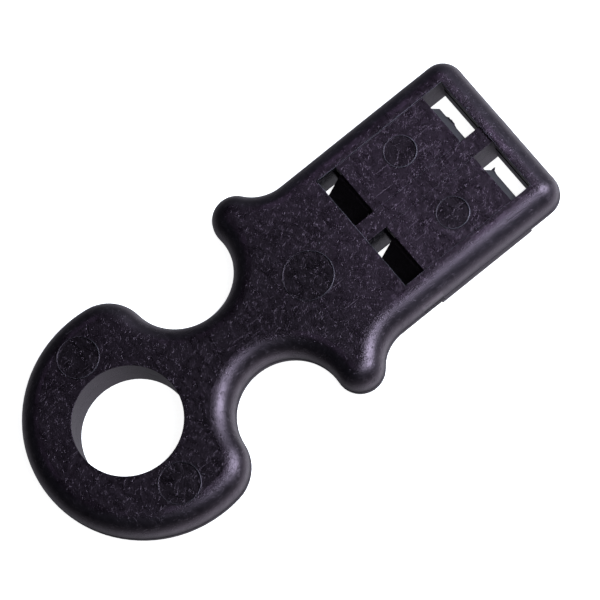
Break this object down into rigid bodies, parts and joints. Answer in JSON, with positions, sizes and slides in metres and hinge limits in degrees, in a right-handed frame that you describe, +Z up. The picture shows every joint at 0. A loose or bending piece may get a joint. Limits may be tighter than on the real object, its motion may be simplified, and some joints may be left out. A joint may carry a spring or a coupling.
{
  "type": "training whistle",
  "caption": "Flat pealess whistle with a lanyard ring, finger-grip neck and a two-channel head with open windows at both ends of its panel.",
  "frame": {"origin": "middle of the whole outline, on the flat face that the whistle rests on", "axes": "+X along the length towards the mouthpiece end, +Z up through the thickness, +Y towards the left channel"},
  "size_m": [0.0704, 0.0304, 0.006],
  "materials": {
    "shell_plastic": "satin moulded black plastic with a faint purple cast, fine speckle, scuffs and smoother rounded edges",
    "insert_plastic": "plain black moulded plastic"
  },
  "bodies": {
    "root": {"upper_shell": "shell_plastic", "lower_shell": "shell_plastic", "cover_plate": "shell_plastic", "tone_block_left": "insert_plastic", "tone_block_right": "insert_plastic"}
  },
  "joints": []
}
